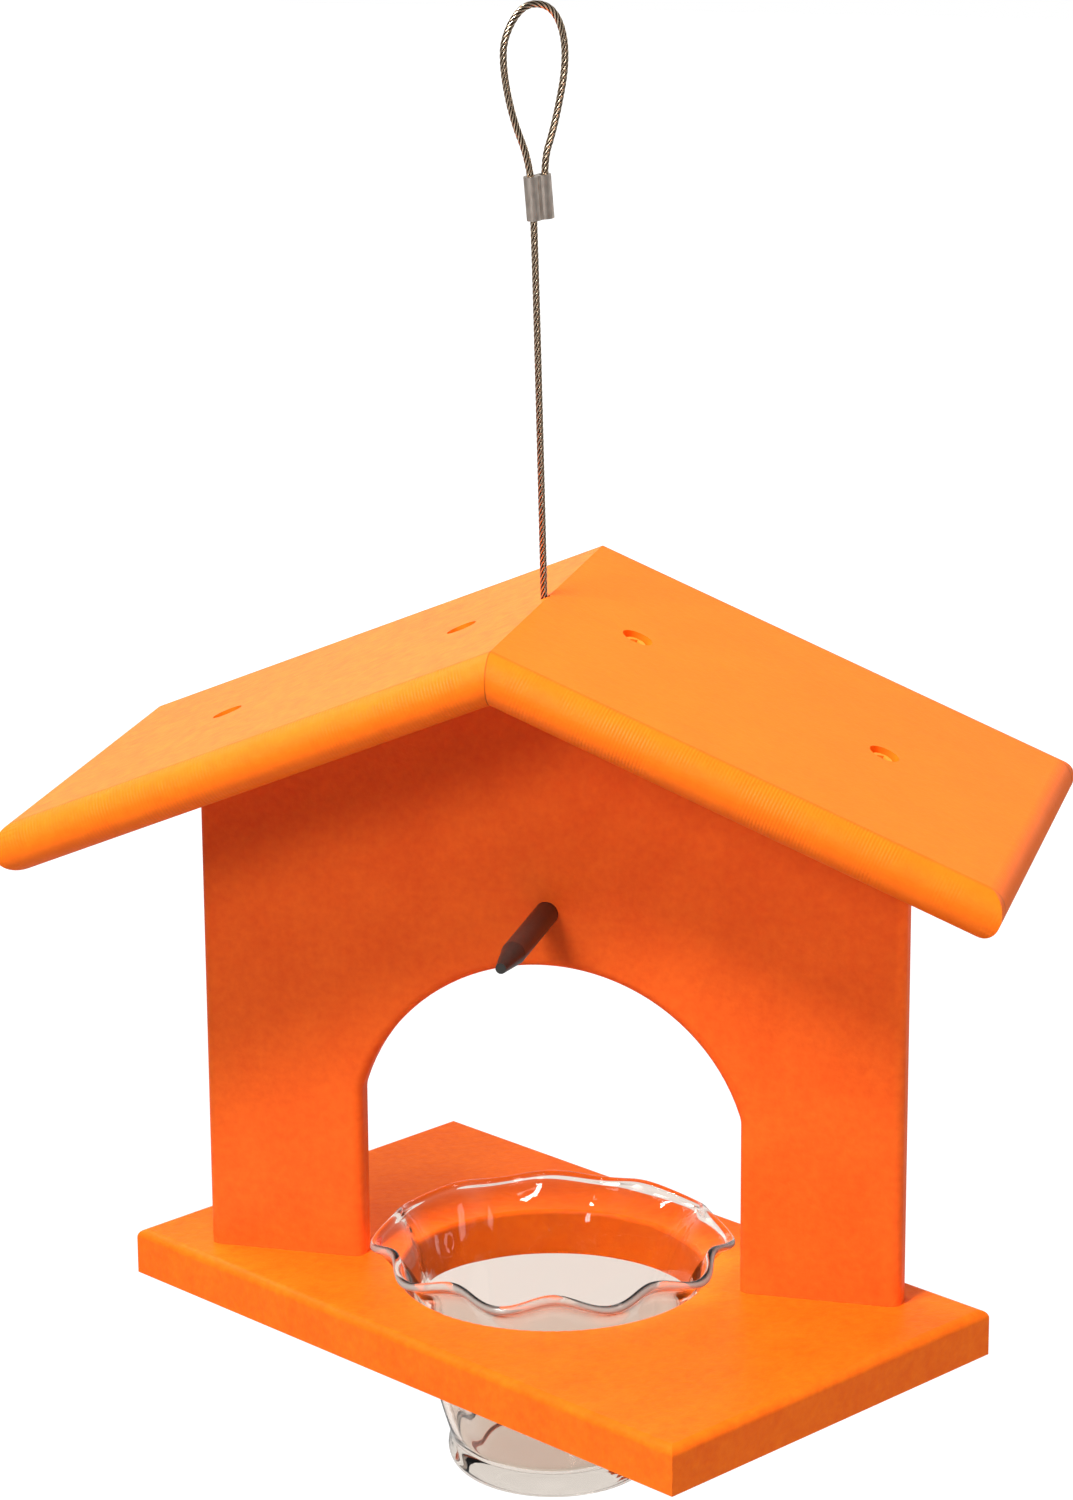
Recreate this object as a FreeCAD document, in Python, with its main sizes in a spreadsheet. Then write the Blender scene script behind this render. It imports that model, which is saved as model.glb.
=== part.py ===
import FreeCAD, Part
import math
import os

import Sketcher
from FreeCAD import Placement, Rotation, Vector

# Hanging oriole feeder: a gabled roof on an upright arched panel, which stands across the
# diagonal of a small floor board. A glass jelly cup hangs in a hole in the floor, a pointed
# rod through the panel holds fruit, and a wire rope with a crimped loop carries the feeder.
# Millimetres. The origin is the inside top of the loop, X along the panel, Z up.

doc = FreeCAD.newDocument("oriole_feeder")

# Driving dimensions
SIZES = [
    # place of the house under the loop
    ("house_side", 2.7), ("floor_drop", 336.25),
    # boards
    ("board_thickness", 12.7), ("nose_flat", 0.3),
    ("ridge_height", 186.0), ("roof_pitch", 22.5), ("roof_depth", 127.0),
    ("roof_slope_left", 143.3), ("roof_slope_right", 140.9),
    ("panel_thickness", 9.5), ("panel_width", 190.5), ("panel_round", 3.0),
    ("opening_width", 103.6), ("arch_top", 86.5), ("arch_spread", 2.2), ("arch_blend", 8.0),
    ("floor_length", 203.2), ("floor_width", 120.65), ("floor_round", 2.5),
    ("cup_hole", 82.6), ("hole_round", 1.2),
    # fruit spike
    ("spike_length", 101.6), ("spike_diameter", 6.35), ("spike_over_arch", 15.1),
    ("spike_point", 12.5), ("spike_tip", 2.8), ("spike_fit", 0.05),
    # wire rope, its crimped sleeve and its hidden stop
    ("rope_diameter", 1.6), ("rope_hole", 2.6), ("rope_side", -1.0), ("bore_gap", 0.25),
    ("barrel_diameter", 3.9), ("barrel_merge", 0.45), ("sleeve_length", 11.2),
    ("sleeve_lean", 4.8), ("loop_turn", 40.0), ("sleeve_side", -0.46), ("sleeve_drop", 53.2),
    ("crimp_round", 0.7),
    ("stop_diameter", 4.8), ("stop_length", 6.4), ("stop_gap", 0.3), ("rope_tail", 1.0),
    # screws
    ("roof_screw_near", 25.4), ("roof_screw_far", 95.25),
    ("pocket_diameter", 8.2), ("pocket_depth", 3.4),
    ("roof_head_diameter", 7.4), ("roof_head_crown", 5.3), ("roof_head_height", 2.2),
    ("floor_screw_inset", 10.25), ("floor_head_diameter", 7.6),
    ("screw_diameter", 3.8), ("screw_length", 30.0), ("screw_point", 5.0), ("screw_gap", 0.1),
    ("drive_size", 2.6), ("drive_depth", 1.4),
    # jelly cup
    ("cup_depth", 55.5), ("cup_wall", 2.4), ("cup_base", 5.5), ("cup_corner", 4.0),
    ("cup_gap", 1.0),
    ("foot_radius", 28.6), ("foot_edge", 4.6), ("foot_height", 9.1), ("foot_recess", 1.2),
    ("waist_radius", 28.0),
    ("rim_flare", 6.9), ("rim_rise", 8.3), ("rim_ripple", 1.75), ("rim_wave", 1.25),
    ("flutes", 10), ("flute_depth", 1.2), ("flute_turn", 20.0), ("flute_start", -57.0),
]
sheet = doc.addObject("Spreadsheet::Sheet", "sizes")
for row, (alias, number) in enumerate(SIZES, start=1):
    sheet.set(f"A{row}", alias)
    sheet.set(f"B{row}", str(number))
    sheet.setAlias(f"B{row}", alias)
doc.recompute()

# Lengths that follow from the driving ones, as expressions on the sheet
HALF_WIDTH = "sizes.panel_width / 2"
HALF_OPENING = "sizes.opening_width / 2"
BOARD_DROP = "sizes.board_thickness / cos(sizes.roof_pitch)"
PEAK = f"sizes.ridge_height - {BOARD_DROP}"
SHOULDER = f"{PEAK} - {HALF_WIDTH} * tan(sizes.roof_pitch)"
NOSE = "(sizes.board_thickness - sizes.nose_flat) / 2"
ARCH_RADIUS = f"({HALF_OPENING} + sizes.arch_spread)"
ARCH_CENTRE = f"sizes.arch_top - {ARCH_RADIUS}"
FLOOR_TURN = "atan(sizes.floor_width / sizes.floor_length)"
STOP_REACH = "(abs(sizes.rope_side) + sizes.stop_diameter / 2)"
STOP_TOP = f"{PEAK} - {STOP_REACH} * tan(sizes.roof_pitch) - sizes.stop_gap"
STOP_BOTTOM = f"{STOP_TOP} - sizes.stop_length"
SPIKE_UP = "sizes.arch_top + sizes.spike_over_arch"
SCREW_INNER = f"({HALF_OPENING} + sizes.floor_screw_inset)"
SCREW_OUTER = f"({HALF_WIDTH} - sizes.floor_screw_inset)"
BARREL_SPACING = "(sizes.barrel_diameter - sizes.barrel_merge)"
HEAD_DROP = "(sizes.floor_head_diameter - sizes.screw_diameter) / 2"


def value(expression):
    """number that an expression on the sheet gives now"""
    return float(sheet.evalExpression(f"({expression}) * 1"))


def bind(obj, **expressions):
    """tie properties of an object to the sheet; __ stands for a dot in a property's path"""
    for name, expression in expressions.items():
        obj.setExpression(name.replace("__", "."), expression)


def body_at_house(label, turn_axis=Vector(0, 0, 1), turn=None):
    """empty body whose own origin is the middle of the floor board's top"""
    body = doc.addObject("PartDesign::Body", label)
    body.Label = label
    body.Placement = Placement(Vector(), Rotation(turn_axis, value(turn) if turn else 0.0))
    bind(body, Placement__Base__x="sizes.house_side", Placement__Base__z="-sizes.floor_drop")
    if turn:
        bind(body, Placement__Rotation__Angle=turn)
    return body


def sketch_on(body, name, role):
    """sketch of a body on one of the body's own origin planes"""
    sketch = body.newObject("Sketcher::SketchObject", name)
    plane = next(item for item in body.Origin.OriginFeatures if item.Role == role)
    sketch.AttachmentSupport = (plane, [""])
    sketch.MapMode = "FlatFace"
    return sketch


def fix_point(sketch, geometry, end, across, up, name):
    """hold one end of a sketch line, or an arc's centre, at two expressions"""
    for kind, expression in (("DistanceX", across), ("DistanceY", up)):
        if expression is None:
            continue
        index = sketch.addConstraint(
            Sketcher.Constraint(kind, -1, 1, geometry, end, value(expression)))
        sketch.renameConstraint(index, f"{name}_{kind}")
        sketch.setExpression(f"Constraints.{name}_{kind}", expression)


def outline(sketch, corners):
    """closed polygon through corners given as pairs of expressions"""
    spots = [Vector(value(across), value(up), 0) for across, up in corners]
    lines = [sketch.addGeometry(Part.LineSegment(spot, spots[(n + 1) % len(spots)]), False)
             for n, spot in enumerate(spots)]
    for n, line in enumerate(lines):
        sketch.addConstraint(
            Sketcher.Constraint("Coincident", line, 2, lines[(n + 1) % len(lines)], 1))
        fix_point(sketch, line, 1, *corners[n], f"corner{n}")
    return lines


def pad_both_ways(body, sketch, length):
    """solid of a sketch, half its length to each side of the sketch"""
    pad = body.newObject("PartDesign::Pad", "Pad")
    pad.Profile = sketch
    pad.SideType = "Symmetric"
    bind(pad, Length=length)
    doc.recompute()
    return pad


def round_edges(body, radius, chosen):
    """fillet the edges of a body's last feature that a test picks"""
    base = body.Tip
    names = [f"Edge{n}" for n, edge in enumerate(base.Shape.Edges, start=1) if chosen(edge)]
    fillet = body.newObject("PartDesign::Fillet", "Fillet")
    fillet.Base = (base, names)
    bind(fillet, Radius=radius)
    doc.recompute()
    return fillet


def drill(body, name, radius, height, side, up, back="0", axis=Vector(0, 1, 0), turn="0"):
    """cylinder taken out of a body, from its foot at (side, back, up) along a turned Z axis"""
    hole = body.newObject("PartDesign::SubtractiveCylinder", name)
    hole.Placement = Placement(Vector(), Rotation(axis, value(turn)))
    bind(hole, Radius=radius, Height=height, Placement__Base__x=side, Placement__Base__y=back,
         Placement__Base__z=up)
    if turn != "0":
        bind(hole, Placement__Rotation__Angle=turn)
    doc.recompute()
    return hole


def revolve_profile(body, corners, role, axis):
    """solid of revolution of a closed profile about one axis of its sketch"""
    sketch = sketch_on(body, "Profile", role)
    outline(sketch, corners)
    turned = body.newObject("PartDesign::Revolution", "Revolution")
    turned.Profile = sketch
    turned.ReferenceAxis = (sketch, [axis])
    turned.Angle = 360
    doc.recompute()
    return turned


def along_y(edge):
    """whether an edge runs straight along Y"""
    ends = [vertex.Point for vertex in edge.Vertexes]
    return (len(ends) == 2 and abs(ends[0].x - ends[1].x) < 1e-6
            and abs(ends[0].z - ends[1].z) < 1e-6)


def in_plane_y(edge, level):
    """whether an edge lies in the plane of one value of Y"""
    return all(abs(edge.valueAt(t).y - level) < 1e-6
               for t in (edge.FirstParameter, edge.LastParameter,
                         (edge.FirstParameter + edge.LastParameter) / 2))


# Roof: two boards mitred at the ridge, with bullnosed free edges, the rope's hole through the
# ridge and two counterbored screw pockets in each slope
def slope_point(distance, depth, side):
    """side and height of a point on a slope, this far down from the ridge and under the face"""
    across = f"({distance}) * cos(sizes.roof_pitch) - ({depth}) * sin(sizes.roof_pitch)"
    up = f"sizes.ridge_height - ({distance}) * sin(sizes.roof_pitch) - ({depth}) * cos(sizes.roof_pitch)"
    return f"{side} * ({across})", up


def roof_board(label, side):
    """one slope of the roof; side is 1 to the right and -1 to the left"""
    slope = "sizes.roof_slope_right" if side > 0 else "sizes.roof_slope_left"
    body = body_at_house(label)
    sketch = sketch_on(body, "Section", "XZ_Plane")
    outline(sketch, [("0", "sizes.ridge_height"),
                     slope_point(slope, "0", side),
                     slope_point(slope, "sizes.board_thickness", side),
                     ("0", PEAK)])
    pad_both_ways(body, sketch, "sizes.roof_depth")
    half_depth = value("sizes.roof_depth") / 2
    eave_start = value(f"({slope} - sizes.board_thickness) * cos(sizes.roof_pitch)")

    def free_edge(edge):
        middle = edge.CenterOfMass
        at_gable = in_plane_y(edge, half_depth) or in_plane_y(edge, -half_depth)
        along_slope = at_gable and 1.0 < abs(middle.x) < eave_start
        at_eave = along_y(edge) and abs(middle.x) > eave_start
        return along_slope or at_eave

    round_edges(body, NOSE, free_edge)
    drill(body, "RopeHole", "sizes.rope_hole / 2", "2 * sizes.board_thickness",
          "sizes.rope_side", f"{PEAK} - sizes.board_thickness / 2")
    turn = f"{side} * sizes.roof_pitch"
    for n, distance in enumerate(("sizes.roof_screw_near", "sizes.roof_screw_far")):
        drill(body, f"ScrewHole{n}", "sizes.screw_diameter / 2 + sizes.screw_gap",
              "2 * sizes.board_thickness",
              *slope_point(distance, "1.5 * sizes.board_thickness", side), turn=turn)
        drill(body, f"Pocket{n}", "sizes.pocket_diameter / 2", "2 * sizes.pocket_depth",
              *slope_point(distance, "sizes.pocket_depth", side), turn=turn)
    return body


roof_left = roof_board("roof_board_left", -1)
roof_right = roof_board("roof_board_right", 1)

# Upright panel: one board with a gabled top that seats under the roof and an arched opening,
# its outer edges and the arch rounded over on both faces
panel = body_at_house("arch_panel")
panel_sketch = sketch_on(panel, "Outline", "XZ_Plane")
half_opening = value(HALF_OPENING)
arch_centre = value(ARCH_CENTRE)
arch_radius = value(ARCH_RADIUS)
spring = arch_centre + math.sqrt(arch_radius ** 2 - half_opening ** 2)
shoulder, peak, half_width = value(SHOULDER), value(PEAK), value(HALF_WIDTH)
runs = [
    ((half_opening, spring), (half_opening, 0)),
    ((half_opening, 0), (half_width, 0)),
    ((half_width, 0), (half_width, shoulder)),
    ((half_width, shoulder), (0, peak)),
    ((0, peak), (-half_width, shoulder)),
    ((-half_width, shoulder), (-half_width, 0)),
    ((-half_width, 0), (-half_opening, 0)),
    ((-half_opening, 0), (-half_opening, spring)),
]
for start, end in runs:
    panel_sketch.addGeometry(Part.LineSegment(Vector(*start, 0), Vector(*end, 0)), False)
arch_circle = Part.Circle(Vector(0, arch_centre, 0), Vector(0, 0, 1), arch_radius)
spring_angle = math.atan2(spring - arch_centre, half_opening)
arch = panel_sketch.addGeometry(
    Part.ArcOfCircle(arch_circle, spring_angle, math.pi - spring_angle), False)
for n in range(len(runs) - 1):
    panel_sketch.addConstraint(Sketcher.Constraint("Coincident", n, 2, n + 1, 1))
panel_sketch.addConstraint(Sketcher.Constraint("Coincident", arch, 1, 0, 1))
panel_sketch.addConstraint(Sketcher.Constraint("Coincident", len(runs) - 1, 2, arch, 2))
fix_point(panel_sketch, arch, 3, "0", ARCH_CENTRE, "arch_centre")
panel_sketch.renameConstraint(
    panel_sketch.addConstraint(Sketcher.Constraint("Radius", arch, arch_radius)), "arch_bend")
bind(panel_sketch, Constraints__arch_bend=ARCH_RADIUS)
fix_point(panel_sketch, 0, 1, HALF_OPENING, None, "right_spring")
fix_point(panel_sketch, 1, 1, HALF_OPENING, "0", "right_inside")
fix_point(panel_sketch, 2, 1, HALF_WIDTH, "0", "right_foot")
fix_point(panel_sketch, 3, 1, HALF_WIDTH, SHOULDER, "right_shoulder")
fix_point(panel_sketch, 4, 1, "0", PEAK, "peak")
fix_point(panel_sketch, 5, 1, f"-{HALF_WIDTH}", SHOULDER, "left_shoulder")
fix_point(panel_sketch, 6, 1, f"-{HALF_WIDTH}", "0", "left_foot")
fix_point(panel_sketch, 7, 1, f"-{HALF_OPENING}", "0", "left_inside")
fix_point(panel_sketch, 7, 2, f"-{HALF_OPENING}", None, "left_spring")
pad_both_ways(panel, panel_sketch, "sizes.panel_thickness")
round_edges(panel, "sizes.arch_blend",
            lambda edge: along_y(edge) and abs(edge.CenterOfMass.z - spring) < 1e-6)
half_panel = value("sizes.panel_thickness") / 2


def panel_side_edge(edge):
    """edges of the panel's two sides and of the arch, on either face"""
    middle = edge.CenterOfMass
    on_face = in_plane_y(edge, half_panel) or in_plane_y(edge, -half_panel)
    under_roof = middle.z > shoulder - 1e-6
    at_floor = edge.BoundBox.ZMax < 1e-6
    return on_face and not under_roof and not at_floor


round_edges(panel, "sizes.panel_round", panel_side_edge)
drill(panel, "SpikeHole", "sizes.spike_diameter / 2 + sizes.spike_fit",
      "2 * sizes.panel_thickness", "0", SPIKE_UP, back="sizes.panel_thickness",
      axis=Vector(1, 0, 0), turn="90")
drill(panel, "StopPocket", "sizes.stop_diameter / 2 + sizes.stop_gap",
      "sizes.stop_length + 2 * sizes.rope_tail + sizes.board_thickness", "sizes.rope_side",
      f"{STOP_BOTTOM} - 2 * sizes.rope_tail")
for side, hand in ((-1, "Left"), (1, "Right")):
    for n, distance in enumerate(("sizes.roof_screw_near", "sizes.roof_screw_far")):
        drill(panel, f"RoofPilot{hand}{n}", "sizes.screw_diameter / 2", "sizes.screw_length",
              *slope_point(distance, "sizes.pocket_depth + sizes.screw_length", side),
              turn=f"{side} * sizes.roof_pitch")
    for n, distance in enumerate((SCREW_INNER, SCREW_OUTER)):
        drill(panel, f"FloorPilot{hand}{n}", "sizes.screw_diameter / 2", "sizes.screw_length",
              f"{side} * {distance}", "-sizes.board_thickness")

# Floor board: turned so that its diagonal lies under the panel, rounded over along its top,
# with the cup's hole in the middle and countersunk screw holes from underneath
floor_board = body_at_house("floor_board", turn=f"-{FLOOR_TURN}")
floor_sketch = sketch_on(floor_board, "Outline", "XY_Plane")
half_length, half_floor_width = "sizes.floor_length / 2", "sizes.floor_width / 2"
outline(floor_sketch, [(f"-{half_length}", f"-{half_floor_width}"),
                       (half_length, f"-{half_floor_width}"),
                       (half_length, half_floor_width),
                       (f"-{half_length}", half_floor_width)])
floor_pad = floor_board.newObject("PartDesign::Pad", "Pad")
floor_pad.Profile = floor_sketch
floor_pad.Reversed = True
bind(floor_pad, Length="sizes.board_thickness")
doc.recompute()
round_edges(floor_board, "sizes.floor_round", lambda edge: edge.BoundBox.ZMin > -1e-6)
drill(floor_board, "CupHole", "sizes.cup_hole / 2", "2 * sizes.board_thickness", "0",
      "-1.5 * sizes.board_thickness")
cup_hole_radius = value("sizes.cup_hole") / 2
round_edges(floor_board, "sizes.hole_round",
            lambda edge: edge.BoundBox.ZMin > -1e-6 and edge.Curve.TypeId == "Part::GeomCircle"
            and abs(edge.Curve.Radius - cup_hole_radius) < 1e-6)
for side, hand in ((-1, "Left"), (1, "Right")):
    for n, distance in enumerate((SCREW_INNER, SCREW_OUTER)):
        across = f"{side} * {distance} * cos({FLOOR_TURN})"
        back = f"{side} * {distance} * sin({FLOOR_TURN})"
        drill(floor_board, f"ScrewHole{hand}{n}", "sizes.screw_diameter / 2 + sizes.screw_gap",
              "2 * sizes.board_thickness", across, "-1.5 * sizes.board_thickness", back=back)
        sink = floor_board.newObject("PartDesign::SubtractiveCone", f"Countersink{hand}{n}")
        bind(sink, Radius1="sizes.floor_head_diameter / 2 + sizes.screw_gap",
             Radius2="sizes.screw_diameter / 2 + sizes.screw_gap",
             Height=HEAD_DROP, Placement__Base__x=across, Placement__Base__y=back,
             Placement__Base__z="-sizes.board_thickness")
        doc.recompute()

# Fruit spike: a rod through the panel above the arch, with a blunt cone at each end
spike = body_at_house("fruit_spike")
bind(spike, Placement__Base__z=f"{SPIKE_UP} - sizes.floor_drop")
spike_radius, spike_half = "sizes.spike_diameter / 2", "sizes.spike_length / 2"
revolve_profile(spike, [
    ("0", f"-{spike_half}"),
    ("sizes.spike_tip / 2", f"-{spike_half}"),
    (spike_radius, f"-({spike_half} - sizes.spike_point)"),
    (spike_radius, f"{spike_half} - sizes.spike_point"),
    ("sizes.spike_tip / 2", spike_half),
    ("0", spike_half),
], "XY_Plane", "V_Axis")


# Screws: straight shanks with a cone point and a square drive; pan heads sit in the roof's
# pockets and flat heads in the floor's countersinks
def place_screw(body, side, up, axis, turn):
    """put a screw's body with the seat of its head at a point of the house"""
    body.Placement = Placement(Vector(), Rotation(axis, value(turn)))
    bind(body, Placement__Base__x=f"{side} + sizes.house_side",
         Placement__Base__z=f"{up} - sizes.floor_drop", Placement__Rotation__Angle=turn)


def cut_drive(body, top):
    """square drive socket in the top of a screw's head"""
    socket = body.newObject("PartDesign::SubtractivePrism", "Drive")
    socket.Polygon = 4
    bind(socket, Circumradius="sizes.drive_size / sqrt(2)", Height="sizes.drive_depth",
         Placement__Base__z=f"{top} - sizes.drive_depth")
    doc.recompute()


SHANK = "sizes.screw_diameter / 2"
screws = []
for side, name in ((-1, "left"), (1, "right")):
    for distance, spot in (("sizes.roof_screw_near", "upper"), ("sizes.roof_screw_far", "lower")):
        screw = doc.addObject("PartDesign::Body", f"roof_screw_{name}_{spot}")
        screw.Label = f"roof_screw_{name}_{spot}"
        revolve_profile(screw, [
            ("0", "-sizes.screw_length"),
            (SHANK, "-(sizes.screw_length - sizes.screw_point)"),
            (SHANK, "0"),
            ("sizes.roof_head_diameter / 2", "0"),
            ("sizes.roof_head_diameter / 2", "sizes.roof_head_height / 2"),
            ("sizes.roof_head_crown / 2", "sizes.roof_head_height"),
            ("0", "sizes.roof_head_height"),
        ], "XZ_Plane", "V_Axis")
        cut_drive(screw, "sizes.roof_head_height")
        place_screw(screw, *slope_point(distance, "sizes.pocket_depth", side),
                    Vector(0, 1, 0), f"{side} * sizes.roof_pitch")
        screws.append(screw)
    for distance, spot in ((SCREW_INNER, "inner"), (SCREW_OUTER, "outer")):
        screw = doc.addObject("PartDesign::Body", f"floor_screw_{name}_{spot}")
        screw.Label = f"floor_screw_{name}_{spot}"
        revolve_profile(screw, [
            ("0", "-sizes.screw_length"),
            (SHANK, "-(sizes.screw_length - sizes.screw_point)"),
            (SHANK, f"-{HEAD_DROP}"),
            ("sizes.floor_head_diameter / 2", "0"),
            ("0", "0"),
        ], "XZ_Plane", "V_Axis")
        cut_drive(screw, "0")
        place_screw(screw, f"{side} * {distance}", "-sizes.board_thickness",
                    Vector(1, 0, 0), "180")
        screws.append(screw)


# Jelly cup: pressed glass in one piece, which hangs by its flare in the floor's hole. Its skins
# follow closed rings: up the fluted outside, over the wavy lip and down the inside. A ring is
# (mean radius, height over the base, depth of the flutes, height of the rim's waves).
FLUTE_POLES = 3
ROUND_STEPS = 3
WALL_SHARES = (0.0, 0.3, 0.7, 0.97)
FLUTE_GROWTH = 0.6
FLARE_SHARE = 0.45


def swell(step):
    """how far the poles of a uniform cubic spline stand outside the circle that it draws"""
    return 3 / (2 + math.cos(step))


def rounded(radius, up, size, start, end, flute=0.0, wave=0.0):
    """rings round a bend of this size about (radius, up), from one angle to another"""
    angles = [start + (end - start) * n / ROUND_STEPS for n in range(ROUND_STEPS + 1)]
    return [(radius + size * math.cos(angle), up + size * math.sin(angle), flute, wave)
            for angle in angles]


def glass_skin(rings, degree):
    """periodic spline surface whose poles stand on the rings, of this degree from ring to ring"""
    flutes = int(round(value("sizes.flutes")))
    count = flutes * FLUTE_POLES
    round_swell, flute_swell = swell(2 * math.pi / count), swell(2 * math.pi / FLUTE_POLES)
    height = value("sizes.cup_depth + sizes.rim_rise")
    poles = []
    for n in range(count):
        angle = 2 * math.pi * n / count
        swing = flute_swell * math.cos(flutes * angle)
        column = []
        for radius, up, flute, wave in rings:
            lag = value("sizes.flute_start") + value("sizes.flute_turn") * (1 - up / height)
            turned = angle + math.radians(lag)
            reach = radius * round_swell + flute * swing
            column.append(Vector(reach * math.cos(turned), reach * math.sin(turned),
                                 up - wave * swing))
        poles.append(column)
    spans = len(rings) - degree
    surface = Part.BSplineSurface()
    surface.buildFromPolesMultsKnots(
        poles, [1] * (count + 1), [degree + 1] + [1] * (spans - 1) + [degree + 1],
        list(range(count + 1)), list(range(spans + 1)), True, False, 3, degree)
    return surface


def bands(rings):
    """plain skins between each ring and the next"""
    return [glass_skin(list(pair), 1) for pair in zip(rings, rings[1:])]


def wall_rings():
    """rings of the outside of the wall, from the waist to the outer edge of the lip"""
    waist, waist_up = value("sizes.waist_radius"), value("sizes.foot_height")
    seat = value("sizes.cup_hole / 2 - sizes.cup_gap - sizes.flute_depth")
    seat_up, flute = value("sizes.cup_depth"), value("sizes.flute_depth")
    ripple, wave = value("sizes.rim_ripple"), value("sizes.rim_wave")
    flare, rise = value("sizes.rim_flare"), value("sizes.rim_rise")
    rings = [(waist + (seat - waist) * share, waist_up + (seat_up - waist_up) * share,
              flute * share ** FLUTE_GROWTH, 0.0) for share in WALL_SHARES]
    rings.append((seat + flare * FLARE_SHARE, seat_up + rise * FLARE_SHARE, (flute + ripple) / 2,
                  wave * FLARE_SHARE ** 2))
    rings.append((seat + flare + value("sizes.cup_wall") / 2, seat_up + rise, ripple, wave))
    return rings


def set_in(rings, wall):
    """rings moved in by the wall's thickness, square to the line through their neighbours"""
    moved = []
    for n, (radius, up, flute, wave) in enumerate(rings):
        before, after = rings[max(n - 1, 0)], rings[min(n + 1, len(rings) - 1)]
        across, along = after[0] - before[0], after[1] - before[1]
        length = math.hypot(across, along)
        moved.append((radius - wall * along / length, up + wall * across / length, flute, wave))
    return moved


def jelly_cup():
    """the cup's solid, its base at zero"""
    wall, base = value("sizes.cup_wall"), value("sizes.cup_base")
    foot, edge = value("sizes.foot_radius"), value("sizes.foot_edge")
    recess = value("sizes.foot_recess")
    outside = wall_rings()
    lip, last = wall / 2, outside[-1]
    over_lip = rounded(last[0] - lip, last[1], lip, 0.0, math.pi, last[2], last[3])
    inside = [over_lip[-1]] + set_in(outside[:-1], wall)[::-1]
    stand = foot - edge - wall
    foot_rings = [(stand - recess, recess, 0.0, 0.0), (stand, 0.0, 0.0, 0.0)]
    foot_rings += rounded(foot - edge, edge, edge, -math.pi / 2, 0.0) + [outside[0]]
    corner, bottom = value("sizes.cup_corner"), inside[-1]
    floor_rings = [bottom] + rounded(bottom[0] - corner, base + corner, corner, 0.0, -math.pi / 2)
    skins = bands(foot_rings) + [glass_skin(outside, 3)] + bands(over_lip)
    skins += [glass_skin(inside, 3)] + bands(floor_rings)
    under, floor = skins[0].vIso(0), skins[-1].vIso(1)
    caps = [Part.Face(Part.Wire([curve.toShape()])) for curve in (under, floor)]
    shell = Part.makeShell([skin.toShape() for skin in skins] + caps)
    shell.sewShape()
    solid = Part.makeSolid(shell)
    if solid.Volume < 0:
        solid.reverse()
    return solid


cup = doc.addObject("Part::Feature", "jelly_cup")
cup.Label = "jelly_cup"
cup.Shape = jelly_cup()
cup.Placement = Placement(Vector(value("sizes.house_side"), 0,
                                 -value("sizes.floor_drop + sizes.cup_depth")), Rotation())

# Wire rope: up from its stop inside the panel, through the ridge, round the loop and back into
# the crimped sleeve. The straight run under the sleeve is pulled tight.
ROPE_ROUTE = [
    Vector(1.80, 0.00, -172.36),
    Vector(-0.30, 0.00, -55.20),
    Vector(-1.37, -0.90, -38.45),
    Vector(-4.80, -4.12, -27.55),
    Vector(-6.72, -5.72, -15.95),
    Vector(-6.72, -5.72, -6.85),
    Vector(-2.20, -1.93, 1.45),
    Vector(4.39, 3.60, -0.25),
    Vector(6.99, 5.79, -11.85),
    Vector(4.47, 3.66, -29.65),
    Vector(1.27, 1.32, -38.05),
    Vector(2.19, 2.09, -52.45),
]
ARC_SHARE = 0.45


def rope_path(points):
    """straight runs joined by tangent arcs, each as large as its two runs allow"""
    edges, radii = [], []
    start = points[0]
    for before, corner, after in zip(points, points[1:], points[2:]):
        back, ahead = before - corner, after - corner
        reach = ARC_SHARE * min(back.Length, ahead.Length)
        turn = math.pi - back.getAngle(ahead)
        radius = reach / math.tan(turn / 2)
        back.normalize()
        ahead.normalize()
        inward = back + ahead
        inward.normalize()
        middle = corner + inward * (radius / math.cos(turn / 2) - radius)
        enter, leave = corner + back * reach, corner + ahead * reach
        edges.append(Part.LineSegment(start, enter).toShape())
        edges.append(Part.Arc(enter, middle, leave).toShape())
        radii.append(radius)
        start = leave
    edges.append(Part.LineSegment(start, points[-1]).toShape())
    return Part.Wire(edges), radii


rope_wire, rope_radii = rope_path(ROPE_ROUTE)
rope_radius = value("sizes.rope_diameter") / 2
rope_start = Part.Wire([Part.Circle(ROPE_ROUTE[0], ROPE_ROUTE[1] - ROPE_ROUTE[0],
                                    rope_radius).toShape()])
rope = doc.addObject("Part::Feature", "hanger_cable")
rope.Label = "hanger_cable"
rope.Shape = rope_wire.makePipeShell([rope_start], True, True)
print("rope length", round(rope_wire.Length, 2), "radii", [round(r, 1) for r in rope_radii])
print("rope volume over section times length",
      round(rope.Shape.Volume / (math.pi * rope_radius ** 2 * rope_wire.Length), 4))

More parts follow.
